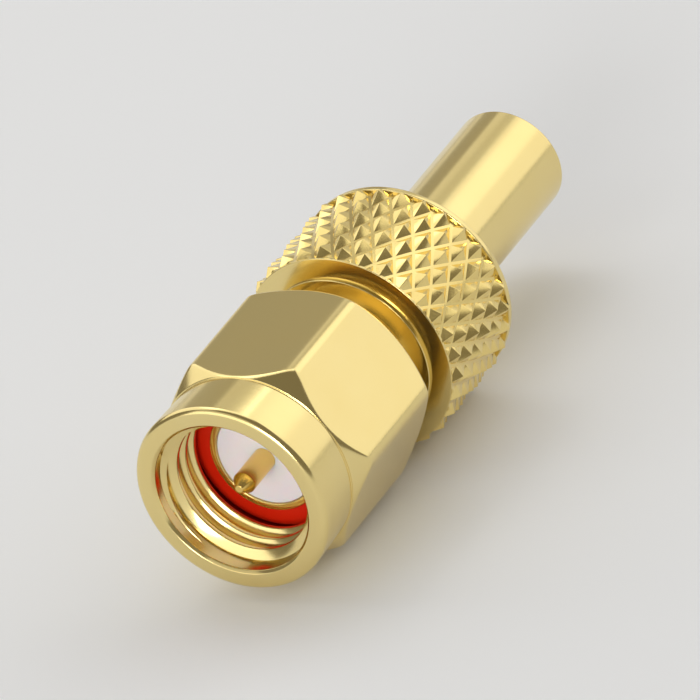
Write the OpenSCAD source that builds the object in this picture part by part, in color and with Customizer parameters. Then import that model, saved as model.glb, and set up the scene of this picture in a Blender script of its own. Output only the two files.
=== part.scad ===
// Straight coaxial adapter: a threaded plug end with a captive hex coupling nut, a knurled grip
// ring, and a plain push-on jack end.  It lies on its grip ring and nut: the axis runs along Y,
// the plug's mouth faces -Y, and the origin is under the middle of the part.
// Distances named z_... run along the axis from the front face of the coupling nut.

/* [Coupling nut] */
// Length of the nut from its front face to its rear face
nut_length = 8.5; // [8:0.1:9.4]
// Size across the flats of the hexagon
nut_flats = 8; // [7.8:0.1:8.6]
// Turn of the hexagon about the axis, seen from behind
nut_turn = 0; // [-6:0.1:6]
// Length of the round collar in front of the hexagon
collar_length = 2.35; // [1.8:0.05:3]
// Diameter of the collar at its front edge
collar_front_d = 8.06; // [7.6:0.02:8.2]
// Diameter of the collar where it meets the hexagon
collar_rear_d = 7.88; // [7.5:0.02:8]
// Chamfer on the collar's outer front edge
collar_edge = 0.12; // [0.05:0.01:0.25]
// Length of the cone that bevels the front of the hexagon's corners
hex_front_bevel = 0.85; // [0.4:0.05:1.2]
// Length of the cone that bevels the rear of the hexagon's corners
hex_rear_bevel = 0.55; // [0.2:0.05:0.9]
// Diameter of the bore, which is the root of the coupling thread
thread_root_d = 6.4; // [6.3:0.02:6.6]
// Chamfer at the bore's mouth
mouth_chamfer = 0.12; // [0.05:0.01:0.25]

/* [Captive ring] */
// Distance from the nut's front face to the middle of the snap ring
ring_place = 6.5; // [6.2:0.05:6.9]
// Thickness of the snap ring along the axis
ring_thick = 0.45; // [0.3:0.05:0.6]
// Width of the snap ring's wire across the axis
ring_width = 0.7; // [0.6:0.02:0.8]
// Depth to which the snap ring sits in the barrel
ring_seat = 0.42; // [0.34:0.02:0.5]
// Gap between the ends of the snap ring
ring_gap = 1.1; // [0.6:0.1:2]
// Travel of the nut along the body, each way from its middle place
nut_play = 0.1; // [0.05:0.01:0.2]
// Distance from the ring's groove in the nut forward to the shoulder where the bore widens
bore_shoulder = 0.5; // [0.3:0.05:0.8]

/* [Plug interface] */
// Distance from the nut's front face back to the outer conductor's face
plane_depth = 2.85; // [2.6:0.05:3.2]
// Outer diameter of the outer conductor
conductor_d = 4.6; // [4.4:0.02:4.7]
// Diameter of the outer conductor's bore
dielectric_d = 4.04; // [3.9:0.02:4.12]
// Distance by which the insulator stands behind the outer conductor's face
dielectric_recess = 0.05; // [0:0.01:0.2]
// Diameter of the centre pin
pin_d = 0.91; // [0.85:0.01:0.95]
// Length of the centre pin in front of the outer conductor's face
pin_reach = 2.1; // [1.6:0.05:2.4]
// Length of the pin's conical tip
pin_tip = 0.45; // [0.3:0.05:0.7]
// Diameter of the flat end of the pin's tip
pin_end_d = 0.3; // [0.2:0.02:0.4]
// Thickness of the sealing gasket
gasket_thick = 0.8; // [0.6:0.05:0.95]
// Distance from the outer conductor's face back to the gasket's face
gasket_depth = 0.25; // [0.1:0.05:0.5]

/* [Body] */
// Diameter of the barrel that the nut turns on
barrel_d = 6.1; // [6:0.02:6.14]
// Diameter of the neck between the nut and the grip ring
neck_d = 5.4; // [5.2:0.05:5.9]
// Width of the gap between the nut and the grip ring's boss
neck_gap = 1.35; // [1:0.05:1.8]
// Distance by which the barrel runs on behind the nut
barrel_overrun = 0.15; // [0.05:0.05:0.4]
// Diameter of the spigot that is pressed into the grip body
spigot_d = 4.7; // [4.5:0.05:4.9]
// Length of the spigot
spigot_length = 2.6; // [2:0.1:3.2]
// Bore through the spigot
spigot_bore_d = 3; // [2.6:0.1:3.4]

/* [Grip ring] */
// Diameter of the boss in front of the grip ring
boss_d = 7.1; // [6.6:0.05:7.6]
// Length of the boss in front of the grip ring
boss_length = 0.35; // [0.35:0.05:0.7]
// Radius of the cove between the boss and the grip ring
boss_cove = 0.28; // [0.1:0.02:0.28]
// Length of the grip ring
grip_length = 5.1; // [4.5:0.05:5.8]
// Diameter of the grip ring's plain rims
grip_blank_d = 8.84; // [8.7:0.02:8.96]
// Diameter over the tips of the knurl
grip_tip_d = 9.12; // [9.02:0.02:9.3]
// Diameter at the bottom of the knurl's grooves
grip_root_d = 8.52; // [8.4:0.02:8.6]
// Diameter of the grip ring's front face, inside its bevel
grip_face_d = 8.6; // [8.4:0.02:8.66]
// Length of the grip ring's front bevel
grip_bevel = 0.12; // [0.08:0.02:0.2]
// Length of the plain rim behind the knurl
grip_rim = 0.26; // [0.16:0.02:0.5]
// Number of points around the knurl
knurl_count = 30; // [24:1:36]
// Distance between points along the axis
knurl_pitch = 1.63; // [1.4:0.01:1.9]
// Distance from the grip ring's front face to the first whole row of points
knurl_start = 0.53; // [0.2:0.01:0.8]
// Width of the flat at the bottom of each groove
knurl_flat = 0.12; // [0.06:0.01:0.2]
// Turn of the knurl about the axis, seen from behind
knurl_turn = 1.5; // [-6:0.1:6]

/* [Jack end] */
// Length of the plain tube behind the grip ring
tube_length = 9.05; // [7:0.05:12]
// Outer diameter of the tube
tube_d = 4.55; // [4.5:0.05:5]
// Diameter of the tube's bore
tube_bore_d = 3.6; // [3.4:0.05:3.7]
// Chamfer on the tube's outer and inner edges
tube_chamfer = 0.1; // [0.04:0.01:0.15]
// Depth of the jack's socket, from the tube's end to the insulator's face
socket_depth = 4; // [3.4:0.1:5]
// Depth of the plain mouth in front of the snap groove
mouth_land = 0.9; // [0.7:0.05:1.2]
// Width of the snap groove inside the tube
snap_width = 0.6; // [0.55:0.05:0.8]
// Depth of the snap groove
snap_depth = 0.2; // [0.18:0.01:0.24]
// Diameter of the insulator's boss in the socket
core_boss_d = 2; // [1.8:0.1:2.4]
// Distance from the tube's end to the insulator's boss
core_recess = 1.2; // [1.1:0.05:1.6]
// Diameter of the socket contact
socket_d = 0.96; // [0.9:0.02:1.2]
// Diameter of the hole in the socket contact
socket_bore_d = 0.52; // [0.5:0.01:0.6]
// Depth of the hole in the socket contact
socket_bore_depth = 2.4; // [2:0.1:3]
// Width of the slot between the socket contact's two fingers
socket_slot = 0.1; // [0.06:0.01:0.14]

/* [Centre contact] */
// Diameter of the contact inside the front insulator
contact_d = 1.27; // [1.1:0.01:1.3]
// Thickness of the insulator in front of the contact's shoulder
contact_cover = 0.12; // [0.1:0.01:0.16]
// Diameter of the collar that holds the contact between the insulators
contact_collar_d = 1.8; // [1.5:0.05:2.4]
// Length of that collar
contact_collar_length = 1.2; // [0.8:0.1:1.6]

/* [Fits] */
// Gap round pieces that are pressed or slid together and stay put
seat_gap = 0.01; // [0.005:0.005:0.02]
// Gap on each side of a snap ring in its grooves, beyond the nut's travel
ring_side_gap = 0.03; // [0.02:0.01:0.05]
// Radial gap between the snap ring and the bottom of each groove
ring_root_gap = 0.06; // [0.04:0.01:0.08]
// Radial gap between the nut and the barrel that it turns on
nut_clearance = 0.075; // [0.04:0.005:0.08]
// Small bevel on turned edges
edge_break = 0.08; // [0.04:0.01:0.1]

/* [Hidden] */

$fn = 96;
eps = 0.5;
gold = [0.85, 0.72, 0.4];
white = [0.93, 0.91, 0.92];
red = [0.72, 0.1, 0.02];

// Stations along the axis
z_pin_tip = plane_depth - pin_reach;
z_gasket = plane_depth + gasket_depth;
z_shoulder = z_gasket + gasket_thick;
z_boss = nut_length + neck_gap;
z_grip = z_boss + boss_length;
z_knurl_end = z_grip + grip_length - grip_rim;
z_grip_end = z_grip + grip_length;
z_end = z_grip_end + tube_length;
z_spigot_end = z_boss + spigot_length;
z_socket_floor = z_end - socket_depth;
z_core = z_end - core_recess;

// Snap ring: it bridges a groove in the barrel and a groove in the nut
ring_inner_r = barrel_d / 2 - ring_seat;
body_groove_r = ring_inner_r - ring_root_gap;
ring_outer_r = ring_inner_r + ring_width;
nut_groove_r = ring_outer_r + ring_root_gap;
body_groove_half = ring_thick / 2 + nut_play + ring_side_gap;
nut_groove_half = ring_thick / 2 + ring_side_gap;

// The contact's shoulder lies behind the front insulator's face, and its collar ends flush with
// that insulator's rear face, where the rear insulator holds it
z_dielectric = plane_depth + dielectric_recess;
z_contact = z_dielectric + contact_cover;
z_insulator_step = z_boss - seat_gap;
z_collar = z_insulator_step - contact_collar_length;

// Radius of the small bevel on the boss's front edge
boss_edge = 0.05;

// The axis lies one tip radius above the surface that the part rests on
axis_height = grip_tip_d / 2 * cos(knurl_turn);

// Stands the axis frame (z along the axis, from the nut's front face) in the part's own frame
module along_axis() {
    translate([0, -z_end / 2, axis_height])
        rotate([-90, 0, 0])
            children();
}

// A turned solid from its half section, given as [radius, station] points
module turned(points) {
    rotate_extrude()
        polygon(points);
}

// A plain bore between two stations
module bore(d, from, to) {
    translate([0, 0, from])
        cylinder(d = d, h = to - from);
}

// ---- Coupling nut ----

module hex_blank() {
    corner_r = nut_flats / 2 / cos(30);
    bevel_r = collar_front_d / 2 + 0.1;
    intersection() {
        translate([0, 0, collar_length])
            rotate([0, 0, nut_turn])
                cylinder(r = corner_r, h = nut_length - collar_length, $fn = 6);
        turned([
            [0, collar_length],
            [bevel_r, collar_length],
            [corner_r, collar_length + hex_front_bevel],
            [corner_r + eps, collar_length + hex_front_bevel + eps],
            [corner_r + eps, nut_length - hex_rear_bevel - eps],
            [corner_r, nut_length - hex_rear_bevel],
            [nut_flats / 2, nut_length],
            [0, nut_length]
        ]);
    }
}

module collar_blank() {
    turned([
        [0, 0],
        [collar_front_d / 2 - collar_edge, 0],
        [collar_front_d / 2, collar_edge],
        [collar_rear_d / 2, collar_length],
        [collar_rear_d / 2, collar_length + eps],
        [0, collar_length + eps]
    ]);
}

// Everything that is bored out of the nut, from its mouth to its rear face
module nut_bore() {
    mouth_r = thread_root_d / 2;
    rear_r = barrel_d / 2 + nut_clearance;
    z_shoulder_front = ring_place - nut_groove_half - bore_shoulder;
    turned([
        [0, -eps],
        [mouth_r + mouth_chamfer + eps, -eps],
        [mouth_r, mouth_chamfer],
        [mouth_r, z_shoulder_front],
        [rear_r, z_shoulder_front + mouth_r - rear_r],
        [rear_r, ring_place - nut_groove_half],
        [nut_groove_r, ring_place - nut_groove_half],
        [nut_groove_r, ring_place + nut_groove_half],
        [rear_r, ring_place + nut_groove_half],
        [rear_r, nut_length + eps],
        [0, nut_length + eps]
    ]);
}

module coupling_nut() {
    color(gold)
        along_axis()
            difference() {
                union() {
                    hex_blank();
                    collar_blank();
                }
                nut_bore();
            }
}

// ---- Snap ring that holds the nut on the barrel ----

module retaining_ring() {
    color(gold)
        along_axis()
            translate([0, 0, ring_place - ring_thick / 2])
                difference() {
                    cylinder(r = ring_outer_r, h = ring_thick);
                    translate([0, 0, -eps])
                        cylinder(r = ring_inner_r, h = ring_thick + 2 * eps);
                    translate([0, -ring_gap / 2, -eps])
                        cube([ring_outer_r + eps, ring_gap, ring_thick + 2 * eps]);
                }
}

// ---- Gasket round the outer conductor ----

module sealing_gasket() {
    inner_r = conductor_d / 2 + seat_gap;
    outer_r = barrel_d / 2;
    soft_edge = gasket_thick / 5;
    color(red)
        along_axis()
            turned([
                [inner_r, z_gasket],
                [outer_r - soft_edge, z_gasket],
                [outer_r, z_gasket + soft_edge],
                [outer_r, z_shoulder],
                [inner_r, z_shoulder]
            ]);
}

// ---- Front body: outer conductor, barrel, neck and spigot in one turned piece ----

module front_body() {
    barrel_end = nut_length + barrel_overrun;
    color(gold)
        along_axis()
            difference() {
                turned([
                    [0, plane_depth],
                    [conductor_d / 2 - edge_break, plane_depth],
                    [conductor_d / 2, plane_depth + edge_break],
                    [conductor_d / 2, z_shoulder],
                    [barrel_d / 2, z_shoulder],
                    [barrel_d / 2, ring_place - body_groove_half],
                    [body_groove_r, ring_place - body_groove_half],
                    [body_groove_r, ring_place + body_groove_half],
                    [barrel_d / 2, ring_place + body_groove_half],
                    [barrel_d / 2, barrel_end],
                    [neck_d / 2, barrel_end],
                    [neck_d / 2, z_boss],
                    [spigot_d / 2, z_boss],
                    [spigot_d / 2, z_spigot_end],
                    [0, z_spigot_end]
                ]);
                bore(dielectric_d, plane_depth - eps, z_boss);
                bore(spigot_bore_d, z_boss - eps, z_spigot_end + eps);
            }
}

// ---- Insulators and centre contact ----

module front_insulator() {
    color(white)
        along_axis()
            difference() {
                bore(dielectric_d - 2 * seat_gap, z_dielectric, z_insulator_step);
                bore(pin_d + 2 * seat_gap, z_dielectric - eps, z_boss);
                bore(contact_d + 2 * seat_gap, z_contact - seat_gap, z_boss);
                bore(contact_collar_d + 2 * seat_gap, z_collar - seat_gap, z_boss);
            }
}

module centre_contact() {
    z_socket = z_core - seat_gap;
    color(gold)
        along_axis()
            difference() {
                turned([
                    [0, z_pin_tip],
                    [pin_end_d / 2, z_pin_tip],
                    [pin_d / 2, z_pin_tip + pin_tip],
                    [pin_d / 2, z_contact],
                    [contact_d / 2, z_contact],
                    [contact_d / 2, z_collar],
                    [contact_collar_d / 2, z_collar],
                    [contact_collar_d / 2, z_insulator_step],
                    [socket_d / 2, z_insulator_step],
                    [socket_d / 2, z_socket - edge_break],
                    [socket_d / 2 - edge_break, z_socket],
                    [0, z_socket]
                ]);
                bore(socket_bore_d, z_socket - socket_bore_depth, z_socket + eps);
                translate([-socket_d, -socket_slot / 2, z_socket - socket_bore_depth])
                    cube([2 * socket_d, socket_slot, socket_bore_depth + eps]);
            }
}

module rear_insulator() {
    plug_d = spigot_bore_d - 2 * seat_gap;
    color(white)
        along_axis()
            difference() {
                union() {
                    bore(plug_d, z_insulator_step + seat_gap, z_spigot_end + seat_gap);
                    bore(tube_bore_d - 2 * seat_gap, z_spigot_end + seat_gap, z_socket_floor);
                    bore(core_boss_d, z_socket_floor - eps, z_core);
                }
                bore(socket_d + 2 * seat_gap, z_insulator_step, z_core + eps);
            }
}

// ---- Knurled body: boss, grip ring and jack tube in one turned piece ----

// Corner points of the knurl: for every pyramid its tip, its two corners round the axis and its
// two corners along the axis.  Odd rows are turned by half a step.
function knurl_point(r, angle, z) = [r * cos(angle), r * sin(angle), z];

function knurl_pyramid(angle, z, half_step, half_pitch) = [
    knurl_point(grip_tip_d / 2, angle, z),
    knurl_point(grip_root_d / 2, angle - half_step, z),
    knurl_point(grip_root_d / 2, angle + half_step, z),
    knurl_point(grip_root_d / 2, angle, z - half_pitch),
    knurl_point(grip_root_d / 2, angle, z + half_pitch)
];

// A rod covered with a diamond knurl.  Rows are half a pitch apart along the axis, and between
// the pyramids run the flat bottoms of two families of helical grooves.
module knurled_rod(z_first, rows) {
    step = 360 / knurl_count;
    row_gap = knurl_pitch / 2;
    half_width = PI * grip_root_d / 2 / knurl_count;
    side = half_width * row_gap / sqrt(half_width * half_width + row_gap * row_gap);
    share = 1 - knurl_flat / 2 / side;
    tip = 0;
    left = 1;
    right = 2;
    low = 3;
    high = 4;

    pyramids = [
        for (i = [0 : rows - 1], k = [0 : knurl_count - 1], p = knurl_pyramid(
            knurl_turn + (k + (i % 2) / 2) * step, z_first + i * row_gap,
            share * step / 2, share * row_gap))
            p
    ];
    ends = [[0, 0, z_first - row_gap], [0, 0, z_first + rows * row_gap]];
    foot = len(pyramids);
    head = foot + 1;

    function at(i, k, corner) = 5 * (i * knurl_count + (k + knurl_count) % knurl_count) + corner;

    faces = [
        for (i = [0 : rows - 1], k = [0 : knurl_count - 1])
            let (
                a = at(i, k, 0),
                // the pyramids half a step on and half a step back, in the rows above and below
                on = k + i % 2,
                back = on - 1,
                next_left = at(i, k + 1, left),
                sides = [
                    [a + tip, a + left, a + high], [a + tip, a + high, a + right],
                    [a + tip, a + right, a + low], [a + tip, a + low, a + left]
                ],
                above = i == rows - 1
                    ? [
                        [head, a + high, a + left], [head, a + right, a + high],
                        [head, next_left, a + right]
                    ]
                    : [
                        [a + high, at(i + 1, on, left), at(i + 1, on, low)],
                        [a + high, at(i + 1, on, low), a + right],
                        [a + left, at(i + 1, back, low), at(i + 1, back, right)],
                        [a + left, at(i + 1, back, right), a + high],
                        [a + right, at(i + 1, on, low), next_left]
                    ],
                below = i == 0
                    ? [
                        [foot, a + low, a + right], [foot, a + right, next_left],
                        [foot, next_left, at(i, k + 1, low)]
                    ]
                    : [[a + right, next_left, at(i - 1, on, high)]]
            )
            each concat(sides, above, below)
    ];
    polyhedron(points = concat(pyramids, ends), faces = faces);
}

// The knurl between its front bevel and the plain rear rim
module knurl() {
    row_gap = knurl_pitch / 2;
    knurl_length = z_knurl_end - z_grip;
    rows_before = 2;
    rows = ceil(knurl_length / row_gap) + rows_before + 1;
    face_r = grip_face_d / 2;
    bevel_run = (grip_blank_d - grip_face_d) / 2;
    reach = (grip_tip_d - grip_face_d) / 2 + 0.1;
    intersection() {
        knurled_rod(z_grip + knurl_start - rows_before * row_gap, rows);
        turned([
            [0, z_grip],
            [face_r, z_grip],
            [face_r + reach, z_grip + grip_bevel * reach / bevel_run],
            [face_r + reach, z_knurl_end],
            [0, z_knurl_end]
        ]);
    }
}

module body_core() {
    boss_r = boss_d / 2;
    rim_r = grip_blank_d / 2;
    cove = [
        for (angle = [180 : -15 : 90])
            [
                boss_r + boss_cove + boss_cove * cos(angle),
                z_grip - boss_cove + boss_cove * sin(angle)
            ]
    ];
    turned(concat(
        [[0, z_boss], [boss_r - boss_edge, z_boss], [boss_r, z_boss + boss_edge]],
        cove,
        [
            [boss_r + boss_cove, z_knurl_end - edge_break],
            [rim_r, z_knurl_end],
            [rim_r, z_grip_end - edge_break],
            [rim_r - edge_break, z_grip_end],
            [tube_d / 2, z_grip_end],
            [tube_d / 2, z_end - tube_chamfer],
            [tube_d / 2 - tube_chamfer, z_end],
            [0, z_end]
        ]
    ));
}

// The bores inside the body: the seat of the spigot, the tube's bore and its snap groove
module body_bores() {
    bore_r = tube_bore_d / 2;
    seat_r = spigot_d / 2 + seat_gap;
    z_seat = z_spigot_end + seat_gap;
    z_groove = z_end - mouth_land - tube_chamfer;
    turned([
        [0, z_boss - eps],
        [seat_r, z_boss - eps],
        [seat_r, z_seat],
        [bore_r, z_seat],
        [bore_r, z_groove - snap_width],
        [bore_r + snap_depth, z_groove - snap_width + snap_depth],
        [bore_r + snap_depth, z_groove - snap_depth],
        [bore_r, z_groove],
        [bore_r, z_end - tube_chamfer],
        [bore_r + tube_chamfer + eps, z_end + eps],
        [0, z_end + eps]
    ]);
}

module knurled_body() {
    color(gold)
        along_axis()
            difference() {
                union() {
                    body_core();
                    knurl();
                }
                body_bores();
            }
}

coupling_nut();
retaining_ring();
sealing_gasket();
front_body();
front_insulator();
centre_contact();
rear_insulator();
knurled_body();
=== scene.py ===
"""Dresses the coaxial adapter: turned, milled and knurled gold pieces, white insulators, a red gasket.

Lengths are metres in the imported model's frame: the axis runs along Y, the plug's mouth faces -Y
and the part lies on z = 0.  Stations named ..._y are read from the frame's boxes.
"""

import logging
import math
from dataclasses import dataclass, field
from enum import Enum
from typing import Iterable, Optional, Sequence, Union

import bmesh
import bpy
from mathutils import Matrix, Quaternion, Vector


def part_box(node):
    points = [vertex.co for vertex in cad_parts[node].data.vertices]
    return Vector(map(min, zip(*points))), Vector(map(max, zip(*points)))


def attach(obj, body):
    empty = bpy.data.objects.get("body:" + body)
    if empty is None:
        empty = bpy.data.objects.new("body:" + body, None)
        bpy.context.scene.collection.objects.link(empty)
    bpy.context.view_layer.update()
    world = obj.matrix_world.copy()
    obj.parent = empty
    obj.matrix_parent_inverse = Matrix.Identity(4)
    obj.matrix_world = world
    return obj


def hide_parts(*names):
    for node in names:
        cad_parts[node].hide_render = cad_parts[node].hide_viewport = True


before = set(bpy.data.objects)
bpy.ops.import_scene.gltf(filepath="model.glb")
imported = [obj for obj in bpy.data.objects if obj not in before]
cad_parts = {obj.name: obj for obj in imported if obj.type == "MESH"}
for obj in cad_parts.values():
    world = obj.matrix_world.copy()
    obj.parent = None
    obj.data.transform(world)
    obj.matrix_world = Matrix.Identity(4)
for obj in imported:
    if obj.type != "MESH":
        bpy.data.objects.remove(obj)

LOG = logging.getLogger("adapter")
MM = 0.001
RING_STEPS = 192

# Points closer together than this are merged.
SAME_POINT = 1e-8

# The share of a side that the rounding at one of its ends may take up.
SIDE_SHARE = 0.49

# Roundings that the turned pieces share, from a crisp edge to a soft one.
CRISP = 0.03 * MM
BROKEN = 0.04 * MM
SOFT = 0.05 * MM
ROUND = 0.06 * MM
FULL = 0.08 * MM

# The angle between two corners of a hexagon, seen from its centre.
HEX_SECTOR = math.pi / 3

# The boss starts this much behind the CAD body's front face.
BOSS_SET_BACK = 0.11 * MM

Profile = Sequence[tuple[float, ...]]
Colour = tuple[float, float, float]


# --- Where the pieces lie ---


@dataclass(frozen=True)
class Stations:
    """Places along the axis, in metres, taken from the boxes of the CAD nodes."""

    axis_z: float
    mouth_y: float
    nut_rear_y: float
    conductor_y: float
    gasket_y: float
    shoulder_y: float
    dielectric_y: float
    boss_y: float
    tube_end_y: float
    core_y: float
    pin_y: float

    @classmethod
    def from_frame(cls) -> "Stations":
        """Reads every station from the frame.

        Returns:
            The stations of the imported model.
        """
        nut_low, nut_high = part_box("coupling_nut")
        body_low, body_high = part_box("knurled_body")
        gasket_low, gasket_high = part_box("sealing_gasket")
        contact_low, contact_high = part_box("centre_contact")
        return cls(
            axis_z=(body_low.z + body_high.z) / 2,
            mouth_y=nut_low.y,
            nut_rear_y=nut_high.y,
            conductor_y=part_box("front_body")[0].y,
            gasket_y=gasket_low.y,
            shoulder_y=gasket_high.y,
            dielectric_y=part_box("front_insulator")[0].y,
            boss_y=body_low.y + BOSS_SET_BACK,
            tube_end_y=body_high.y,
            core_y=contact_high.y,
            pin_y=contact_low.y,
        )


# --- Modelling helpers ---


def deselect_all() -> None:
    """Leaves object mode with nothing selected."""
    if bpy.context.object and bpy.context.object.mode != "OBJECT":
        bpy.ops.object.mode_set(mode="OBJECT")
    bpy.ops.object.select_all(action="DESELECT")


def activate(piece: bpy.types.Object) -> None:
    """Makes a piece the only selected and the active object.

    Args:
        piece: The object to work on.
    """
    deselect_all()
    piece.select_set(True)
    bpy.context.view_layer.objects.active = piece


def settle(piece: bpy.types.Object, name: str, smooth_deg: float = 28.0) -> bpy.types.Object:
    """Applies a piece's place to its mesh, names it and smooths its shading.

    Large faces are shaded flat up to their softened edges.

    Args:
        piece: The finished object.
        name: Its name.
        smooth_deg: Edges sharper than this angle, in degrees, stay creased.

    Returns:
        The same object, at the origin.
    """
    activate(piece)
    bpy.ops.object.transform_apply(location=True, rotation=True, scale=True)
    bpy.ops.object.shade_smooth_by_angle(angle=math.radians(smooth_deg))
    weighted = piece.modifiers.new("weighted", "WEIGHTED_NORMAL")
    weighted.keep_sharp = True
    bpy.ops.object.modifier_apply(modifier=weighted.name)
    piece.name = name
    piece.data.name = name
    return piece


def rounded(points: Profile, segments: int = 4) -> list[tuple[float, float]]:
    """Rounds the corners of a half section.

    Args:
        points: (radius, y) points, or (radius, y, fillet) where that corner is rounded.
        segments: Steps in each arc.

    Returns:
        (radius, y) points with each fillet replaced by its arc.
    """
    result: list[tuple[float, float]] = []
    count = len(points)
    closed = tuple(points[0][:2]) == tuple(points[-1][:2])
    for index, point in enumerate(points):
        fillet = point[2] if len(point) > 2 else 0.0
        inner = 0 < index < count - 1
        if fillet <= 0 or not (inner or closed):
            result.append((point[0], point[1]))
            continue
        here = Vector(point[:2])
        before = Vector(points[index - 1 if index > 0 else count - 2][:2]) - here
        after = Vector(points[index + 1 if inner or index == 0 else 1][:2]) - here
        half = before.angle(after) / 2
        room = SIDE_SHARE * min(before.length, after.length)
        reach = min(fillet / math.tan(half), room)
        radius = reach * math.tan(half)
        start = here + before.normalized() * reach
        end = here + after.normalized() * reach
        middle = (before.normalized() + after.normalized()).normalized()
        centre = here + middle * radius / math.sin(half)
        for step in range(segments + 1):
            part = step / segments
            ray = (start - centre).lerp(end - centre, part).normalized()
            spot = centre + ray * radius
            result.append((spot.x, spot.y))
    if closed:
        result[-1] = result[0]
    return result


def divided(points: list[tuple[float, float]], step: float) -> list[tuple[float, float]]:
    """Adds points along a half section, so that a later cut has something to move.

    Args:
        points: (radius, y) points.
        step: The longest distance between two points that is left.

    Returns:
        The same outline with more points.
    """
    result = [points[0]]
    for start, end in zip(points, points[1:]):
        run = math.dist(start, end)
        pieces = max(1, math.ceil(run / step))
        for piece in range(1, pieces + 1):
            part = piece / pieces
            result.append((
                start[0] + (end[0] - start[0]) * part,
                start[1] + (end[1] - start[1]) * part,
            ))
    return result


@dataclass
class Turning:
    """A piece turned about the part's axis, ring by ring, as on a lathe.

    Attributes:
        name: The piece's name.
        axis_z: Height of the axis.
        profile: (radius, y) points, with an optional third value, the corner's fillet.
        steps: Points in each ring.
        fillet_segments: Steps in each fillet.
    """

    name: str
    axis_z: float
    profile: Profile
    steps: int = RING_STEPS
    fillet_segments: int = 4

    def make(self) -> bpy.types.Object:
        """Adds the first ring, extrudes and scales it along the profile, and closes the shell.

        Returns:
            The finished object.
        """
        rings = rounded(self.profile, self.fillet_segments)
        centre_start = rings[0][0] == 0.0
        centre_end = rings[-1][0] == 0.0
        closed = rings[0] == rings[-1]
        if centre_start:
            rings = rings[1:]
        if centre_end:
            rings = rings[:-1]
        deselect_all()
        radius, y = rings[0]
        bpy.ops.mesh.primitive_circle_add(
            vertices=self.steps, radius=radius, location=(0, y, self.axis_z),
            rotation=(math.pi / 2, 0, 0), fill_type="TRIFAN" if centre_start else "NOTHING",
        )
        piece = bpy.context.object
        bpy.ops.object.mode_set(mode="EDIT")
        if centre_start:
            bpy.ops.mesh.select_all(action="SELECT")
            bpy.ops.mesh.region_to_loop()
        for next_radius, next_y in rings[1:]:
            bpy.ops.mesh.extrude_edges_move(TRANSFORM_OT_translate={"value": (0, next_y - y, 0)})
            if not math.isclose(next_radius, radius):
                scale = next_radius / radius
                bpy.ops.transform.resize(
                    value=(scale, 1, scale), center_override=(0, next_y, self.axis_z)
                )
            radius, y = next_radius, next_y
        if centre_end:
            bpy.ops.mesh.extrude_edges_move(TRANSFORM_OT_translate={"value": (0, 0, 0)})
            bpy.ops.mesh.merge(type="CENTER")
        bpy.ops.mesh.select_all(action="SELECT")
        if closed:
            bpy.ops.mesh.remove_doubles(threshold=SAME_POINT)
        bpy.ops.mesh.normals_make_consistent(inside=False)
        bpy.ops.object.mode_set(mode="OBJECT")
        return settle(piece, self.name)


class Kept(Enum):
    """The side of a tool solid on which a cut piece is kept."""

    OUTSIDE = "DIFFERENCE"
    INSIDE = "INTERSECT"


def cut(piece: bpy.types.Object, tool: bpy.types.Object, kept: Kept) -> None:
    """Cuts a piece with a tool solid, which is deleted.

    Args:
        piece: The object that is changed.
        tool: The solid that cuts it.
        kept: The side of the tool on which the piece is kept.
    """
    activate(piece)
    step = piece.modifiers.new("cut", "BOOLEAN")
    step.operation = kept.value
    step.solver = "EXACT"
    step.object = tool
    bpy.ops.object.modifier_apply(modifier=step.name)
    bpy.data.objects.remove(tool, do_unlink=True)


def soften_ridges(piece: bpy.types.Object, width: float, limit_deg: float, segments: int) -> None:
    """Rounds a piece's convex edges with a bevel modifier and applies it.

    Args:
        piece: The object.
        width: Bevel width, in metres.
        limit_deg: Convex edges sharper than this angle, in degrees, are rounded.
        segments: Steps across the rounding.
    """
    mesh = bmesh.new()
    mesh.from_mesh(piece.data)
    weights = mesh.edges.layers.float.new("bevel_weight_edge")
    for edge in mesh.edges:
        if edge.is_manifold and edge.is_convex:
            edge[weights] = float(edge.calc_face_angle() > math.radians(limit_deg))
    mesh.to_mesh(piece.data)
    mesh.free()
    activate(piece)
    step = piece.modifiers.new("soften", "BEVEL")
    step.width = width
    step.segments = segments
    step.limit_method = "WEIGHT"
    step.miter_outer = "MITER_ARC"
    bpy.ops.object.modifier_apply(modifier=step.name)


# --- Shader graph ---


@dataclass(frozen=True)
class Wire:
    """A shader socket that can be used in arithmetic."""

    graph: "Graph"
    socket: bpy.types.NodeSocket

    def _math(self, operation: str, first: "Value", second: "Value") -> "Wire":
        """Adds a Math node.

        Args:
            operation: The node's operation.
            first: Its first value.
            second: Its second value.

        Returns:
            The node's output.
        """
        return self.graph.add("ShaderNodeMath", {"operation": operation}, {0: first, 1: second})

    def __add__(self, other: "Value") -> "Wire":
        """Sum."""
        return self._math("ADD", self, other)

    def __radd__(self, other: "Value") -> "Wire":
        """Sum, number first."""
        return self._math("ADD", other, self)

    def __sub__(self, other: "Value") -> "Wire":
        """Difference."""
        return self._math("SUBTRACT", self, other)

    def __rsub__(self, other: "Value") -> "Wire":
        """Difference, number first."""
        return self._math("SUBTRACT", other, self)

    def __mul__(self, other: "Value") -> "Wire":
        """Product."""
        return self._math("MULTIPLY", self, other)

    def __rmul__(self, other: "Value") -> "Wire":
        """Product, number first."""
        return self._math("MULTIPLY", other, self)

    def __pow__(self, other: "Value") -> "Wire":
        """Power."""
        return self._math("POWER", self, other)


Value = Union[Wire, float, Colour]


@dataclass(frozen=True)
class Pattern:
    """A noise pattern.

    Attributes:
        scale: Cells per metre.
        detail: Octaves.
        rough: Weight of the finer octaves.
    """

    scale: float
    detail: float
    rough: float = 0.5


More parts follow.
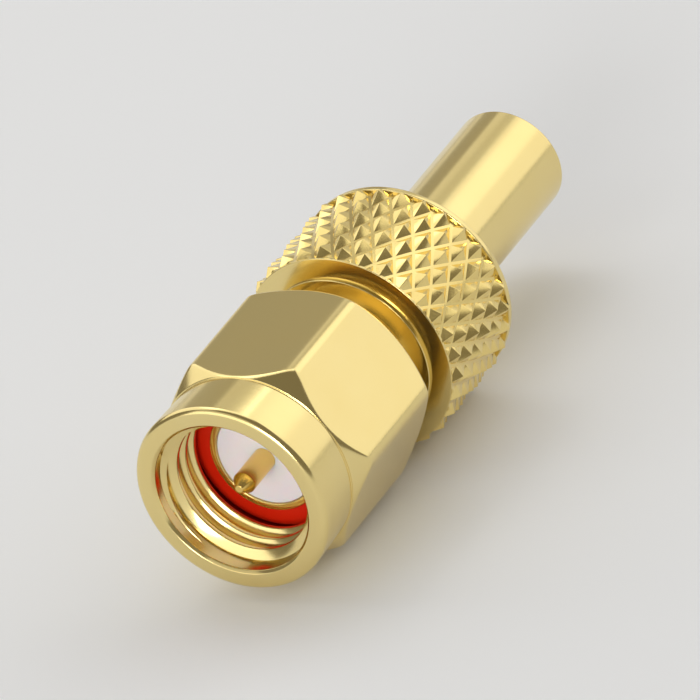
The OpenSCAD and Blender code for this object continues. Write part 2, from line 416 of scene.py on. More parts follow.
class Graph:
    """A material's node tree, built one node at a time."""

    # Where a Mix node has its two colours and its mixed colour.
    MIX_FIRST = 6
    MIX_SECOND = 7
    MIX_RESULT = 2

    def __init__(self, name: str) -> None:
        """Starts a material with a Principled shader.

        Args:
            name: The material's name.
        """
        self.material = bpy.data.materials.new(name)
        self.material.use_nodes = True
        self.tree = self.material.node_tree
        self.shader = self.tree.nodes["Principled BSDF"]

    def add(
        self,
        kind: str,
        settings: Optional[dict[str, object]] = None,
        inputs: Optional[dict[Union[str, int], Value]] = None,
        output: Union[str, int] = 0,
    ) -> Wire:
        """Adds any node.

        Args:
            kind: The node's type.
            settings: Its properties, set before its sockets are filled.
            inputs: Values or wires for its sockets, by name or index.
            output: The output to return, by name or index.

        Returns:
            That output.
        """
        node = self.tree.nodes.new(kind)
        for key, value in (settings or {}).items():
            setattr(node, key, value)
        for key, value in (inputs or {}).items():
            self.feed(node.inputs[key], value)
        return Wire(self, node.outputs[output])

    def feed(self, socket: bpy.types.NodeSocket, value: Value) -> None:
        """Links a wire to a socket, or sets its value.

        Args:
            socket: The input.
            value: A wire, a number or a colour.
        """
        if isinstance(value, Wire):
            self.tree.links.new(value.socket, socket)
        elif isinstance(value, tuple) and socket.type == "RGBA":
            socket.default_value = (*value, 1.0)
        else:
            socket.default_value = value

    def principled(self, **inputs: Value) -> None:
        """Fills the shader's sockets, named with underscores for spaces.

        Args:
            **inputs: Values or wires.
        """
        for key, value in inputs.items():
            self.feed(self.shader.inputs[key.replace("_", " ")], value)

    def place(self, axis_z: float) -> Wire:
        """Object coordinates, measured from the part's axis.

        Args:
            axis_z: Height of the axis.

        Returns:
            The coordinates.
        """
        coordinates = self.add("ShaderNodeTexCoord", output="Object")
        return self.add(
            "ShaderNodeVectorMath", {"operation": "SUBTRACT"}, {0: coordinates, 1: (0, 0, axis_z)}
        )

    def noise(self, where: Wire, pattern: Pattern) -> Wire:
        """Noise between 0 and 1.

        Args:
            where: Coordinates.
            pattern: Its grain.

        Returns:
            The noise factor.
        """
        return self.add("ShaderNodeTexNoise", None, {
            "Vector": where,
            "Scale": pattern.scale,
            "Detail": pattern.detail,
            "Roughness": pattern.rough,
        })

    def bump(self, depth: float, height: Wire) -> Wire:
        """A normal that follows fine relief.

        Args:
            depth: Metres that a height of 1 stands for.
            height: The relief's height.

        Returns:
            The normal.
        """
        inputs = {"Strength": 1.0, "Distance": depth, "Height": height}
        return self.add("ShaderNodeBump", None, inputs, output="Normal")

    def mix_colour(self, factor: Value, first: Value, second: Value) -> Wire:
        """Mixes two colours.

        Args:
            factor: 0 gives the first, 1 the second.
            first: A colour.
            second: A colour.

        Returns:
            The mixed colour.
        """
        inputs = {0: factor, self.MIX_FIRST: first, self.MIX_SECOND: second}
        return self.add("ShaderNodeMix", {"data_type": "RGBA"}, inputs, output=self.MIX_RESULT)


# --- Finishes ---


@dataclass(frozen=True)
class Relief:
    """How much each pattern adds to the height of a tool mark.

    Attributes:
        rings: Fine rings about the axis.
        bands: Broad rings about the axis.
        grain: Fine grain.
        cloud: Soft unevenness.
    """

    rings: float = 0.0
    bands: float = 0.0
    grain: float = 0.0
    cloud: float = 0.0


class ToolMark(Enum):
    """What the last machining step left in the metal under the plating."""

    TURNED = Relief(rings=0.7, bands=0.6, grain=0.2)
    MILLED = Relief(grain=0.5, cloud=1.2)
    KNURLED = Relief(grain=0.8)


@dataclass(frozen=True)
class GoldFinish:
    """Gold plating over machined brass.

    Attributes:
        name: The material's name.
        slot: The record's material slot.
        mark: The tool marks that show through.
        colour: The gold's linear colour.
        warm: The colour that clouds it.
        roughness: Mean roughness.
        mark_depth: Height of the tool marks, in metres.
        polish: How far the smoothest places are under the mean roughness.
        cloud_rough: Roughness that the clouds add.
        grain_rough: Roughness that the grain adds.
    """

    name: str
    slot: str
    mark: ToolMark
    colour: Colour = (0.87, 0.715, 0.33)
    warm: Colour = (0.85, 0.675, 0.28)
    roughness: float = 0.17
    mark_depth: float = 0.9e-6
    polish: float = 0.05
    cloud_rough: float = 0.06
    grain_rough: float = 0.05
    cloud: Pattern = Pattern(450.0, 3.0)
    grain: Pattern = Pattern(9000.0, 2.0, 0.6)
    rings: Pattern = Pattern(14000.0, 2.0, 0.7)
    bands: Pattern = Pattern(2600.0, 1.0)

    def build(self, axis_z: float) -> bpy.types.Material:
        """Builds the material.

        Args:
            axis_z: Height of the axis, about which turned marks run.

        Returns:
            The material.
        """
        graph = Graph(self.name)
        place = graph.place(axis_z)
        x, y, z = (graph.add("ShaderNodeSeparateXYZ", None, {0: place}, output=axis) for axis in "XYZ")
        radius = (x * x + z * z) ** 0.5
        section = graph.add("ShaderNodeCombineXYZ", None, {0: radius, 1: y, 2: 0.0})
        cloud = graph.noise(place, self.cloud)
        grain = graph.noise(place, self.grain)
        rings = graph.noise(section, self.rings)
        bands = graph.noise(section, self.bands)
        relief = self.mark.value
        height = rings * relief.rings + bands * relief.bands
        height = height + grain * relief.grain + cloud * relief.cloud
        graph.principled(
            Base_Color=graph.mix_colour(cloud, self.colour, self.warm),
            Metallic=1.0,
            Roughness=self.roughness - self.polish + cloud * self.cloud_rough + grain * self.grain_rough,
            Normal=graph.bump(self.mark_depth, height),
        )
        return graph.material


@dataclass(frozen=True)
class MouldedFinish:
    """Plastic or rubber, which light enters a little way.

    Attributes:
        name: The material's name.
        slot: The record's material slot.
        colour: Its linear colour.
        second: The colour that clouds it.
        clouding: How far it is clouded.
        cloud: The pattern of the clouds.
        grain: The pattern of the fine grain.
        grain_depth: Height of the grain, in metres.
        roughness: Roughness of the smoothest places.
        cloud_rough: Roughness that the clouds add.
        grain_rough: Roughness that the grain adds.
        specular: Level of the reflections.
        scatter: Share of the light that comes back from inside.
        scatter_depth: How deep it goes, in metres.
    """

    name: str
    slot: str
    colour: Colour
    second: Colour
    clouding: float
    cloud: Pattern
    grain: Pattern
    grain_depth: float
    roughness: float
    scatter: float
    scatter_depth: float
    cloud_rough: float = 0.0
    grain_rough: float = 0.0
    specular: float = 0.5

    def build(self, axis_z: float) -> bpy.types.Material:
        """Builds the material.

        Args:
            axis_z: Height of the axis.

        Returns:
            The material.
        """
        graph = Graph(self.name)
        place = graph.place(axis_z)
        cloud = graph.noise(place, self.cloud)
        grain = graph.noise(place, self.grain)
        graph.principled(
            Base_Color=graph.mix_colour(cloud * self.clouding, self.colour, self.second),
            Roughness=self.roughness + cloud * self.cloud_rough + grain * self.grain_rough,
            Specular_IOR_Level=self.specular,
            Subsurface_Weight=self.scatter,
            Subsurface_Scale=self.scatter_depth,
            Normal=graph.bump(self.grain_depth, grain),
        )
        return graph.material


@dataclass
class Finishes:
    """Every material of the part, built once.

    Attributes:
        axis_z: Height of the axis.
        built: The materials that are built so far, by name.
    """

    axis_z: float
    turned: GoldFinish = GoldFinish("turned_gold", "gold_body", ToolMark.TURNED)
    nut: GoldFinish = GoldFinish("nut_gold", "gold_nut", ToolMark.TURNED, mark_depth=1.4e-6)
    knurled: GoldFinish = GoldFinish(
        "knurled_gold", "gold_body", ToolMark.KNURLED,
        colour=(0.88, 0.705, 0.29), warm=(0.85, 0.655, 0.23), roughness=0.18, mark_depth=2.0e-6,
    )
    contact: GoldFinish = GoldFinish(
        "contact_gold", "gold_contact", ToolMark.TURNED,
        colour=(0.84, 0.60, 0.19), warm=(0.80, 0.55, 0.15), roughness=0.2,
    )
    spring: GoldFinish = GoldFinish(
        "spring_bronze", "spring", ToolMark.MILLED, colour=(0.72, 0.52, 0.26), roughness=0.3
    )
    insulator: MouldedFinish = MouldedFinish(
        "white_insulator", "dielectric", (0.92, 0.85, 0.91), (0.89, 0.83, 0.87), clouding=0.5,
        cloud=Pattern(900.0, 3.0), grain=Pattern(12000.0, 2.0), grain_depth=1.2e-6,
        roughness=0.32, cloud_rough=0.06, scatter=0.35, scatter_depth=0.4 * MM,
    )
    rubber: MouldedFinish = MouldedFinish(
        "red_rubber", "gasket", (0.73, 0.018, 0.001), (0.66, 0.013, 0.001), clouding=1.0,
        cloud=Pattern(700.0, 3.0), grain=Pattern(8000.0, 3.0), grain_depth=4.0e-6,
        roughness=0.36, grain_rough=0.12, specular=0.28, scatter=0.1, scatter_depth=0.2 * MM,
    )
    built: dict[str, bpy.types.Material] = field(default_factory=dict)

    def dress(self, piece: bpy.types.Object, finish: Union[GoldFinish, MouldedFinish]) -> None:
        """Gives a piece its material, which is built when it is first needed.

        Args:
            piece: The object.
            finish: What it is made of.
        """
        if finish.name not in self.built:
            self.built[finish.name] = finish.build(self.axis_z)
        piece.data.materials.clear()
        piece.data.materials.append(self.built[finish.name])


def seat(piece: bpy.types.Object, body: str, slot: str, *nodes: str) -> None:
    """Puts a new piece on its body, in place of the CAD nodes that it stands for.

    Args:
        piece: The object.
        body: The CAD body that it moves with.
        slot: The record's material slot; not used.
        *nodes: The CAD nodes that it replaces.
    """
    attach(piece, body)
    if nodes:
        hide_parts(*nodes)
    LOG.info("%s: %d faces on %s", piece.name, len(piece.data.polygons), body)


# --- Coupling nut ---


@dataclass
class CouplingNut:
    """The hexagonal nut with its round collar and internal thread.

    Attributes:
        at: The part's stations.
        finishes: The part's materials.
    """

    at: Stations
    finishes: Finishes
    flats: float = 8.0 * MM
    collar_length: float = 2.35 * MM
    collar_front_r: float = 4.03 * MM
    collar_rear_r: float = 3.94 * MM
    lip_round: float = 0.24 * MM
    corner_power: float = 32.0
    edge_blend: float = 0.11 * MM
    blank_steps: int = 384
    crowding: float = 0.72
    ring_step: float = 0.045 * MM
    wall: float = 0.1 * MM
    body_step: float = 0.07 * MM
    front_bevel: float = 0.85 * MM
    rear_bevel: float = 0.55 * MM
    bevel_round: float = 0.2 * MM
    smooth_deg: float = 35.0
    bore_r: float = 3.2 * MM
    mouth_chamfer: float = 0.12 * MM
    rear_bore_r: float = 3.125 * MM
    shoulder_depth: float = 5.745 * MM
    groove_from: float = 6.245 * MM
    groove_to: float = 6.755 * MM
    groove_r: float = 3.39 * MM
    thread_start: float = 0.1756 * MM
    thread_from: float = 0.52 * MM
    thread_to: float = 3.0 * MM
    thread_sink: float = 0.06 * MM
    thread_pitch: float = 0.7056 * MM
    thread_crest_r: float = 2.82 * MM
    thread_width: float = 7 / 8
    thread_turns: int = 4
    thread_round: float = 0.03 * MM
    thread_round_steps: int = 3
    flank_deg: float = 30.0
    lead_deg: float = 30.0

    def _corner_distance(self, angle: float) -> float:
        """Angle from the nearest corner of the hexagon.

        Args:
            angle: Direction from the axis, in radians from +X towards +Z.

        Returns:
            Signed angle from that corner, in radians.
        """
        return (angle + HEX_SECTOR / 2) % HEX_SECTOR - HEX_SECTOR / 2

    def _hexagon_radius(self, angle: float) -> float:
        """Distance from the axis to the hexagon, whose corners are rounded.

        Args:
            angle: Direction from the axis, in radians from +X towards +Z.

        Returns:
            The distance.
        """
        offset = abs(self._corner_distance(angle))
        near = math.cos(HEX_SECTOR / 2 - offset) ** self.corner_power
        beyond = math.cos(HEX_SECTOR / 2 + offset) ** self.corner_power
        return self.flats / 2 / (near + beyond) ** (1 / self.corner_power)

    def _blank(self) -> bpy.types.Object:
        """The round blank: collar, bevelled body and all that is bored out of it.

        Returns:
            The object.
        """
        length = self.at.nut_rear_y - self.at.mouth_y
        corner_r = self.flats / 2 / math.cos(HEX_SECTOR / 2)
        bevel_end = self.collar_length + self.front_bevel
        outer = rounded([
            (self.rear_bore_r, 0),
            (self.collar_front_r, 0, self.lip_round),
            (self.collar_rear_r, self.collar_length, CRISP),
            (self.collar_rear_r + self.body_step, self.collar_length, SOFT),
            (corner_r, bevel_end, self.bevel_round),
            (corner_r, length - self.rear_bevel, self.bevel_round),
            (self.flats / 2, length, 2 * SOFT),
            (self.rear_bore_r + SOFT, length),
        ])[1:-1]
        turned_end = self.collar_length - SOFT / 2
        milled = [point for point in outer if point[1] > turned_end]
        turned = [point for point in outer if point[1] <= turned_end]
        bore = rounded([
            (self.rear_bore_r + SOFT, length),
            (self.rear_bore_r, length - SOFT),
            (self.rear_bore_r, self.groove_to),
            (self.groove_r, self.groove_to),
            (self.groove_r, self.groove_from),
            (self.rear_bore_r, self.groove_from),
            (self.rear_bore_r, self.shoulder_depth + self.bore_r - self.rear_bore_r),
            (self.bore_r, self.shoulder_depth),
            (self.bore_r, self.mouth_chamfer, FULL),
            (self.bore_r + self.mouth_chamfer, 0, ROUND),
            turned[0],
        ])
        outline = turned + divided(milled, self.ring_step) + bore
        shifted = [(radius, depth + self.at.mouth_y) for radius, depth in outline]
        return Turning("hex_nut", self.at.axis_z, shifted, steps=self.blank_steps).make()

    def _mill_flats(self, blank: bpy.types.Object) -> None:
        """Moves the blank's outer points in to the hexagon, with softly rounded edges.

        The points of each ring are first crowded towards the hexagon's corners.

        Args:
            blank: The turned blank.
        """
        start_y = self.at.mouth_y + self.collar_length - SOFT / 5
        for vertex in blank.data.vertices:
            x, z = vertex.co.x, vertex.co.z - self.at.axis_z
            radius = math.hypot(x, z)
            angle = math.atan2(z, x)
            angle -= self.crowding / 6 * math.sin(6 * self._corner_distance(angle))
            if radius > self.groove_r + self.wall and vertex.co.y > start_y:
                flat = self._hexagon_radius(angle)
                near = max(self.edge_blend - abs(radius - flat), 0) / self.edge_blend
                radius = min(radius, flat) - near ** 2 * self.edge_blend / 4
            vertex.co.x = radius * math.cos(angle)
            vertex.co.z = radius * math.sin(angle) + self.at.axis_z

    def _fade_ends(self, ridge: bpy.types.Object) -> None:
        """Moves both ends of the thread out into the wall, along a lead cone.

        Args:
            ridge: The swept ridge, about the Y axis.
        """
        hidden_r = self.bore_r + self.thread_sink / 2
        steepness = 1 / math.tan(math.radians(self.lead_deg))
        for vertex in ridge.data.vertices:
            depth = vertex.co.y - self.at.mouth_y
            inside = min(depth - self.thread_from, self.thread_to - depth)
            limit = min(hidden_r - inside * steepness, hidden_r)
            scale = max(limit / math.hypot(vertex.co.x, vertex.co.z), 1)
            vertex.co.x *= scale
            vertex.co.z *= scale

    def _thread(self) -> bpy.types.Object:
        """The internal thread: a trapezoid swept along a helix and faded out at both ends.

        Returns:
            The object.
        """
        root_r = self.bore_r + self.thread_sink
        crest_r = self.thread_crest_r
        root_half = self.thread_pitch * self.thread_width / 2
        flank = math.tan(math.radians(self.flank_deg))
        crest_half = root_half - (self.bore_r - crest_r) * flank
        start_y = self.at.mouth_y + self.thread_start
        deselect_all()
        bpy.ops.mesh.primitive_plane_add(size=1, location=(0, 0, 0))
        ridge = bpy.context.object
        section = (
            (root_r, -root_half), (crest_r, -crest_half), (root_r, root_half), (crest_r, crest_half),
        )
        for vertex, (radius, y) in zip(ridge.data.vertices, section):
            vertex.co = (radius, start_y + y, 0)
        activate(ridge)
        bpy.ops.object.mode_set(mode="EDIT")
        bpy.ops.mesh.select_all(action="SELECT")
        bpy.ops.mesh.bevel(
            offset=self.thread_round, segments=self.thread_round_steps, affect="VERTICES"
        )
        bpy.ops.mesh.delete(type="ONLY_FACE")
        bpy.ops.object.mode_set(mode="OBJECT")
        screw = ridge.modifiers.new("helix", "SCREW")
        screw.axis = "Y"
        screw.screw_offset = self.thread_pitch
        screw.iterations = self.thread_turns
        screw.steps = RING_STEPS
        screw.render_steps = RING_STEPS
        screw.use_merge_vertices = False
        screw.use_smooth_shade = True
        bpy.ops.object.modifier_apply(modifier=screw.name)
        self._fade_ends(ridge)
        ridge.data.transform(Matrix.Translation((0, 0, self.at.axis_z)))
        bpy.ops.object.mode_set(mode="EDIT")
        bpy.ops.mesh.select_all(action="SELECT")
        bpy.ops.mesh.remove_doubles(threshold=SAME_POINT)
        bpy.ops.mesh.select_all(action="DESELECT")
        bpy.ops.mesh.select_non_manifold()
        bpy.ops.mesh.fill()
        bpy.ops.mesh.select_all(action="SELECT")
        bpy.ops.mesh.bisect(
            plane_co=(0, self.at.mouth_y + self.thread_from / 2, 0), plane_no=(0, 1, 0),
            use_fill=True, clear_inner=True,
        )
        bpy.ops.mesh.select_all(action="SELECT")
        bpy.ops.mesh.normals_make_consistent(inside=False)
        bpy.ops.object.mode_set(mode="OBJECT")
        return settle(ridge, "nut_thread", self.smooth_deg)

    def build(self) -> None:
        """Builds the nut and its thread and seats them on the nut's body."""
        nut = self._blank()
        self._mill_flats(nut)
        settle(nut, "hex_nut", self.smooth_deg)
        self.finishes.dress(nut, self.finishes.nut)
        seat(nut, "nut", "gold_nut", "coupling_nut")
        thread = self._thread()
        self.finishes.dress(thread, self.finishes.nut)
        seat(thread, "nut", "gold_nut")


# --- Plug face ---


@dataclass
class PlugFace:
    """What shows in the mouth and behind the nut: front body, gasket, insulator, contact."""

    at: Stations
    finishes: Finishes
    conductor_r: float = 2.3 * MM
    bore_r: float = 2.02 * MM
    barrel_r: float = 3.05 * MM
    gasket_r: float = 3.12 * MM
    neck_r: float = 2.7 * MM
    ring_groove_r: float = 2.57 * MM
    ring_groove_from: float = 6.145 * MM
    ring_groove_to: float = 6.855 * MM
    barrel_overrun: float = 0.15 * MM
    spigot_r: float = 2.35 * MM
    spigot_length: float = 2.6 * MM
    spigot_bore_r: float = 1.5 * MM
    pin_r: float = 0.455 * MM
    pin_tip: float = 0.45 * MM
    pin_end_r: float = 0.15 * MM
    contact_r: float = 0.635 * MM
    contact_cover: float = 0.12 * MM
    collar_r: float = 0.9 * MM
    collar_length: float = 1.2 * MM
    socket_r: float = 0.48 * MM
    socket_bore_r: float = 0.26 * MM
    socket_bore_depth: float = 2.4 * MM
    slot_width: float = 0.1 * MM
    saw_reach: float = 1.0 * MM
    contact_steps: int = 96
    contact_smooth_deg: float = 30.0
    seat_gap: float = 0.01 * MM
    pin_gap: float = 0.002 * MM

    def _front_body(self) -> bpy.types.Object:
        """The outer conductor, barrel, neck and spigot.

        Returns:
            The object.
        """
        at = self.at
        barrel_end = at.nut_rear_y + self.barrel_overrun
        groove_from = at.mouth_y + self.ring_groove_from
        groove_to = at.mouth_y + self.ring_groove_to
        spigot_end = at.boss_y + self.spigot_length
        return Turning("front_barrel", at.axis_z, [
            (self.bore_r, at.conductor_y, BROKEN),
            (self.conductor_r, at.conductor_y, SOFT),
            (self.conductor_r, at.shoulder_y),
            (self.barrel_r, at.shoulder_y, CRISP),
            (self.barrel_r, groove_from),
            (self.ring_groove_r, groove_from),
            (self.ring_groove_r, groove_to),
            (self.barrel_r, groove_to),
            (self.barrel_r, barrel_end, BROKEN),
            (self.neck_r, barrel_end, BROKEN),
            (self.neck_r, at.boss_y),
            (self.spigot_r, at.boss_y),
            (self.spigot_r, spigot_end),
            (self.spigot_bore_r, spigot_end),
            (self.spigot_bore_r, at.boss_y),
            (self.bore_r, at.boss_y),
            (self.bore_r, at.conductor_y, BROKEN),
        ]).make()

    def _gasket(self) -> bpy.types.Object:
        """The red gasket, with a soft outer edge.

        Returns:
            The object.
        """
        at = self.at
        inner = self.conductor_r + self.seat_gap
        return Turning("gasket", at.axis_z, [
            (inner, at.gasket_y, CRISP),
            (self.gasket_r, at.gasket_y, SOFT),
            (self.gasket_r, at.shoulder_y),
            (inner, at.shoulder_y),
            (inner, at.gasket_y, CRISP),
        ], fillet_segments=6).make()

    def _insulator(self) -> bpy.types.Object:
        """The white insulator round the pin.

        Returns:
            The object.
        """
        at = self.at
        rear = at.boss_y - self.seat_gap
        hole = self.pin_r + self.pin_gap
        outer = self.bore_r - self.seat_gap
        wide = self.contact_r + self.seat_gap
        collar = self.collar_r + self.seat_gap
        step = at.dielectric_y + self.contact_cover - self.seat_gap
        collar_y = rear - self.collar_length - self.seat_gap
        return Turning("plug_insulator", at.axis_z, [
            (hole, at.dielectric_y),
            (outer, at.dielectric_y, SOFT),
            (outer, rear),
            (collar, rear),
            (collar, collar_y),
            (wide, collar_y),
            (wide, step),
            (hole, step),
            (hole, at.dielectric_y),
        ]).make()

    def _contact(self) -> bpy.types.Object:
        """The centre contact: pointed pin in front, slotted socket behind.

        Returns:
            The object.
        """
        at = self.at
        shoulder = at.dielectric_y + self.contact_cover
        collar_end = at.boss_y - self.seat_gap
        collar_y = collar_end - self.collar_length
        floor = at.core_y - self.socket_bore_depth
        pin = Turning("contact", at.axis_z, [
            (0, at.pin_y),
            (self.pin_end_r, at.pin_y, SOFT),
            (self.pin_r, at.pin_y + self.pin_tip, ROUND),
            (self.pin_r, shoulder),
            (self.contact_r, shoulder),
            (self.contact_r, collar_y),
            (self.collar_r, collar_y),
            (self.collar_r, collar_end),
            (self.socket_r, collar_end),
            (self.socket_r, at.core_y, SOFT),
            (self.socket_bore_r, at.core_y, SOFT),
            (self.socket_bore_r, floor),
            (0, floor),
        ], steps=self.contact_steps).make()
        saw_end = at.core_y + self.saw_reach
        deselect_all()
        bpy.ops.mesh.primitive_cube_add(
            size=1, location=(0, (floor + saw_end) / 2, at.axis_z),
            scale=(4 * self.socket_r, saw_end - floor, self.slot_width),
        )
        cut(pin, bpy.context.object, Kept.OUTSIDE)
        return settle(pin, "contact", self.contact_smooth_deg)

    def build(self) -> None:
        """Builds the four pieces and seats them on the adapter's body."""
        made = (
            (self._front_body(), self.finishes.turned, "front_body"),
            (self._gasket(), self.finishes.rubber, "sealing_gasket"),
            (self._insulator(), self.finishes.insulator, "front_insulator"),
            (self._contact(), self.finishes.contact, "centre_contact"),
        )
        for piece, finish, node in made:
            self.finishes.dress(piece, finish)
            seat(piece, "adapter_body", finish.slot, node)


# --- Grip body and jack end ---


@dataclass
class GripBody:
    """The boss, knurled grip ring and jack tube, with the rear insulator inside."""

    at: Stations
    finishes: Finishes
    boss_r: float = 3.49 * MM
    boss_length: float = 0.24 * MM
    boss_step: float = 0.17 * MM
    grip_length: float = 5.1 * MM
    face_r: float = 4.14 * MM
    lip_r: float = 4.31 * MM
    lip_length: float = 0.1 * MM
    lip_round: float = 0.02 * MM
    ridge_round: float = 0.024 * MM
    ridge_round_steps: int = 2
    ridge_deg: float = 14.0
    knurl_smooth_deg: float = 12.0
    knurl_flat_deg: float = 1.0
    knurl_merge: float = 0.0002 * MM
    knurl_front_gap: float = 0.03 * MM
    knurl_rear_gap: float = 0.004 * MM
    zone_margin: float = 0.6 * MM
    blank_r: float = 4.42 * MM
    core_r: float = 4.1 * MM
    rim: float = 0.26 * MM
    rim_slope: float = 0.03 * MM
    rim_round: float = 0.07 * MM
    tube_root_round: float = 0.12 * MM
    tube_r: float = 2.275 * MM
    tube_bore_r: float = 1.8 * MM
    tube_round: float = 0.09 * MM
    seat_r: float = 2.36 * MM
    seat_length: float = 2.61 * MM
    mouth_land: float = 1.0 * MM
    snap_width: float = 0.6 * MM
    snap_depth: float = 0.2 * MM
    socket_depth: float = 4.0 * MM
    core_boss_r: float = 1.0 * MM
    core_hole_r: float = 0.49 * MM
    plug_r: float = 1.49 * MM
    core_recess: float = 1.2 * MM
    seat_gap: float = 0.01 * MM

    def _turned_body(self) -> bpy.types.Object:
        """The turned surfaces: boss, faces, rims, tube and bores.

        Returns:
            The object.
        """
        at = self.at
        grip_y = at.boss_y + self.boss_length
        lip_end = grip_y + self.lip_length
        grip_end = grip_y + self.grip_length
        knurl_end = grip_end - self.rim
        groove = at.tube_end_y - self.mouth_land
        bore = self.tube_bore_r
        deep = bore + self.snap_depth
        return Turning("grip_and_tube", at.axis_z, [
            (self.seat_r, at.boss_y, BROKEN),
            (self.boss_r, at.boss_y, BROKEN),
            (self.boss_r, at.boss_y + self.boss_step),
            (self.lip_r, grip_y, CRISP),
            (self.lip_r, lip_end, self.lip_round),
            (self.core_r, lip_end + self.lip_round),
            (self.core_r, knurl_end - self.rim_slope),
            (self.blank_r, knurl_end, BROKEN),
            (self.blank_r, grip_end, self.rim_round),
            (self.tube_r, grip_end, self.tube_root_round),
            (self.tube_r, at.tube_end_y, self.tube_round),
            (bore, at.tube_end_y, self.tube_round),
            (bore, groove),
            (deep, groove - self.snap_depth),
            (deep, groove - self.snap_width + self.snap_depth),
            (bore, groove - self.snap_width),
            (bore, at.boss_y + self.seat_length),
            (self.seat_r, at.boss_y + self.seat_length),
            (self.seat_r, at.boss_y, BROKEN),
        ]).make()

    def _knurl(self) -> bpy.types.Object:
        """The knurled band: the CAD body's own points, trimmed to a ring and softened.

        Returns:
            The object.
        """
        at = self.at
        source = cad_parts["knurled_body"]
        band = bpy.data.objects.new("knurl", source.data.copy())
        bpy.context.scene.collection.objects.link(band)
        activate(band)
        bpy.ops.object.mode_set(mode="EDIT")
        bpy.ops.mesh.select_all(action="SELECT")
        bpy.ops.mesh.remove_doubles(threshold=self.knurl_merge)
        bpy.ops.mesh.customdata_custom_splitnormals_clear()
        bpy.ops.object.mode_set(mode="OBJECT")
        grip_y = at.boss_y + self.boss_length
        zone_start = grip_y + self.knurl_front_gap
        zone_end = grip_y + self.grip_length - self.rim - self.knurl_rear_gap
        zone_r = self.blank_r + self.zone_margin
        zone = Turning("knurl_zone", at.axis_z, [
            (self.face_r, zone_start),
            (zone_r, zone_start),
            (zone_r, zone_end),
            (self.face_r, zone_end),
            (self.face_r, zone_start),
        ]).make()
        cut(band, zone, Kept.INSIDE)
        bpy.ops.object.mode_set(mode="EDIT")
        bpy.ops.mesh.select_all(action="SELECT")
        bpy.ops.mesh.dissolve_limited(angle_limit=math.radians(self.knurl_flat_deg))
        bpy.ops.object.mode_set(mode="OBJECT")
        soften_ridges(band, self.ridge_round, self.ridge_deg, self.ridge_round_steps)
        return settle(band, "knurl", self.knurl_smooth_deg)

    def _rear_insulator(self) -> bpy.types.Object:
        """The white insulator inside the tube, with its boss round the socket.

        Returns:
            The object.
        """
        at = self.at
        seat_end = at.boss_y + self.seat_length
        floor = at.tube_end_y - self.socket_depth
        core = at.tube_end_y - self.core_recess
        wall = self.tube_bore_r - self.seat_gap
        return Turning("jack_insulator", at.axis_z, [
            (self.core_hole_r, at.boss_y),
            (self.plug_r, at.boss_y),
            (self.plug_r, seat_end),
            (wall, seat_end),
            (wall, floor, SOFT),
            (self.core_boss_r, floor, ROUND),
            (self.core_boss_r, core, FULL),
            (self.core_hole_r, core, BROKEN),
            (self.core_hole_r, at.boss_y),
        ]).make()

    def build(self) -> None:
        """Builds the body, its knurl and the rear insulator and seats them."""
        body = self._turned_body()
        self.finishes.dress(body, self.finishes.turned)
        seat(body, "adapter_body", "gold_body", "knurled_body")
        knurl = self._knurl()
        self.finishes.dress(knurl, self.finishes.knurled)
        seat(knurl, "adapter_body", "gold_body")
        insulator = self._rear_insulator()
        self.finishes.dress(insulator, self.finishes.insulator)
        seat(insulator, "adapter_body", "dielectric", "rear_insulator")


# --- Studio ---


def towards(azimuth: float, elevation: float) -> Vector:
    """The unit vector from the part towards a light or the camera.

    Args:
        azimuth: Degrees from +X towards +Y.
        elevation: Degrees above the floor.

    Returns:
        The vector.
    """
    turn, rise = math.radians(azimuth), math.radians(elevation)
    return Vector((math.cos(turn) * math.cos(rise), math.sin(turn) * math.cos(rise), math.sin(rise)))


@dataclass(frozen=True)
class Softbox:
    """A rectangular light that faces the part.

    Attributes:
        name: The light's name.
        azimuth: Degrees from +X towards +Y.
        elevation: Degrees above the floor.
        distance: Metres from the part.
        width: Size across, in metres.
        height: Size upwards, in metres.
        radiance: Brightness of its face.
    """

    name: str
    azimuth: float
    elevation: float
    distance: float
    width: float
    height: float
    radiance: float

    def hang(self, target: Vector) -> None:
        """Adds the light.

        Args:
            target: The point it faces.
        """
        away = towards(self.azimuth, self.elevation)
        lamp = bpy.data.lights.new(self.name, "AREA")
        lamp.shape = "RECTANGLE"
        lamp.size = self.width
        lamp.size_y = self.height
        lamp.energy = self.radiance * math.pi * self.width * self.height
        holder = bpy.data.objects.new(self.name, lamp)
        holder.location = target + away * self.distance
        holder.rotation_euler = away.to_track_quat("Z", "Y").to_euler()
        bpy.context.scene.collection.objects.link(holder)


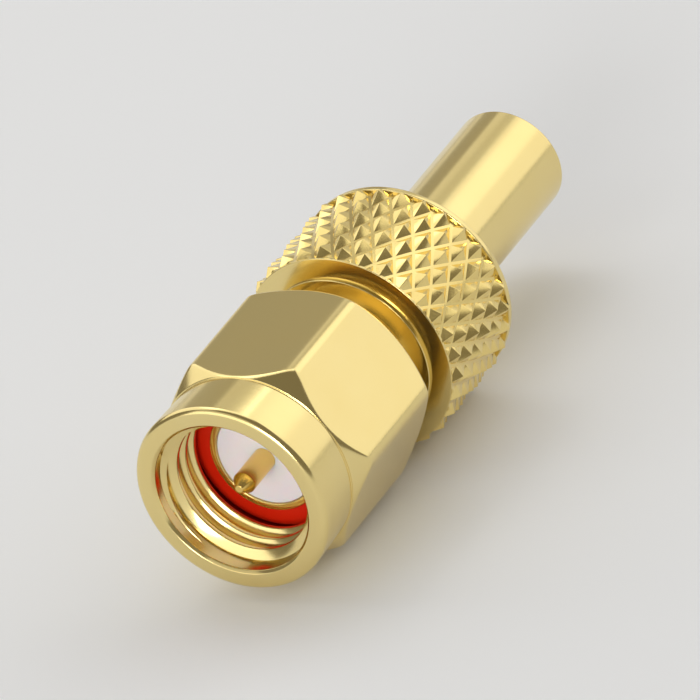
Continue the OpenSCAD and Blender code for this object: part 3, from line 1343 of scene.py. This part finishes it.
@dataclass
class Studio:
    """Floor, lights, world and camera.

    Attributes:
        at: The part's stations.
        azimuth: The camera's direction, in degrees from +X towards +Y.
        elevation: Its height, in degrees above the floor.
        roll: Its turn about its own line of sight, in degrees.
        distance: Metres from the point it looks at.
        lens: Its focal length, in millimetres.
    """

    at: Stations
    azimuth: float = -55.506
    elevation: float = 28.985
    roll: float = -15.298
    distance: float = 0.45
    clip_start: float = 0.01
    lens: float = 617.14
    aim_right: float = 3.64 * MM
    aim_depth: float = 4.999 * MM
    aim_rise: float = 3.716 * MM
    floor_size: float = 3.0
    floor_colour: Colour = (0.92, 0.935, 0.965)
    floor_roughness: float = 0.9
    floor_specular: float = 0.1
    world_level: float = 0.22
    world_colour: Colour = (1.0, 0.92, 0.76)
    boxes: tuple[Softbox, ...] = (
        Softbox("back_right_box", 56.0, 29.0, 0.5, 0.5, 0.54, 0.48),
        Softbox("back_hot_box", 64.0, 38.0, 0.5, 0.24, 0.22, 0.25),
        Softbox("back_wide_box", 70.0, 31.0, 0.55, 0.96, 0.62, 0.4),
        Softbox("back_top_box", 122.0, 68.0, 0.5, 0.42, 0.28, 1.0),
        Softbox("back_left_box", 131.0, 23.0, 0.5, 0.38, 0.32, 0.17),
        Softbox("back_low_box", 134.0, 4.0, 0.5, 0.3, 0.14, 0.36),
        Softbox("left_box", 165.0, 42.0, 0.5, 0.44, 0.5, 0.9),
        Softbox("front_key", 283.0, 15.0, 0.5, 0.2, 0.2, 7.0),
        Softbox("front_left_box", 252.0, 14.0, 0.5, 0.44, 0.3, 1.2),
        Softbox("front_box", 252.0, 40.0, 0.5, 0.5, 0.25, 0.45),
    )

    def _floor(self) -> None:
        """A plain pale floor under the part."""
        deselect_all()
        bpy.ops.mesh.primitive_plane_add(size=self.floor_size, location=(0, 0, 0))
        floor = bpy.context.object
        floor.name = "floor"
        graph = Graph("floor_paper")
        graph.principled(
            Base_Color=self.floor_colour,
            Roughness=self.floor_roughness,
            Specular_IOR_Level=self.floor_specular,
        )
        floor.data.materials.append(graph.material)

    def _camera(self) -> None:
        """The camera, which looks along the part from above its mouth."""
        back = towards(self.azimuth, self.elevation)
        aim = Vector((
            self.aim_right, self.at.mouth_y + self.aim_depth, self.at.axis_z + self.aim_rise
        ))
        lens = bpy.data.cameras.new("camera")
        lens.lens = self.lens
        lens.clip_start = self.clip_start
        camera = bpy.data.objects.new("camera", lens)
        camera.location = aim + back * self.distance
        level = back.to_track_quat("Z", "Y")
        turned = level @ Quaternion((0, 0, 1), math.radians(self.roll))
        camera.rotation_euler = turned.to_euler()
        bpy.context.scene.collection.objects.link(camera)
        bpy.context.scene.camera = camera

    def build(self) -> None:
        """Sets up the floor, lights, world and camera."""
        scene = bpy.context.scene
        scene.view_settings.view_transform = "Standard"
        world = bpy.data.worlds.new("studio")
        world.use_nodes = True
        background = world.node_tree.nodes["Background"].inputs
        background["Color"].default_value = (*self.world_colour, 1)
        background["Strength"].default_value = self.world_level
        scene.world = world
        self._floor()
        target = Vector((0, 0, self.at.axis_z))
        for box in self.boxes:
            box.hang(target)
        self._camera()
        LOG.info("studio: %d lights", len(self.boxes))


def main() -> None:
    """Builds the studio and the dressed part."""
    logging.basicConfig(level=logging.INFO, format="%(name)s %(message)s")
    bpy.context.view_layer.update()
    at = Stations.from_frame()
    finishes = Finishes(at.axis_z)
    Studio(at).build()
    CouplingNut(at, finishes).build()
    PlugFace(at, finishes).build()
    GripBody(at, finishes).build()
    finishes.dress(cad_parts["retaining_ring"], finishes.spring)


if __name__ == "__main__":
    main()
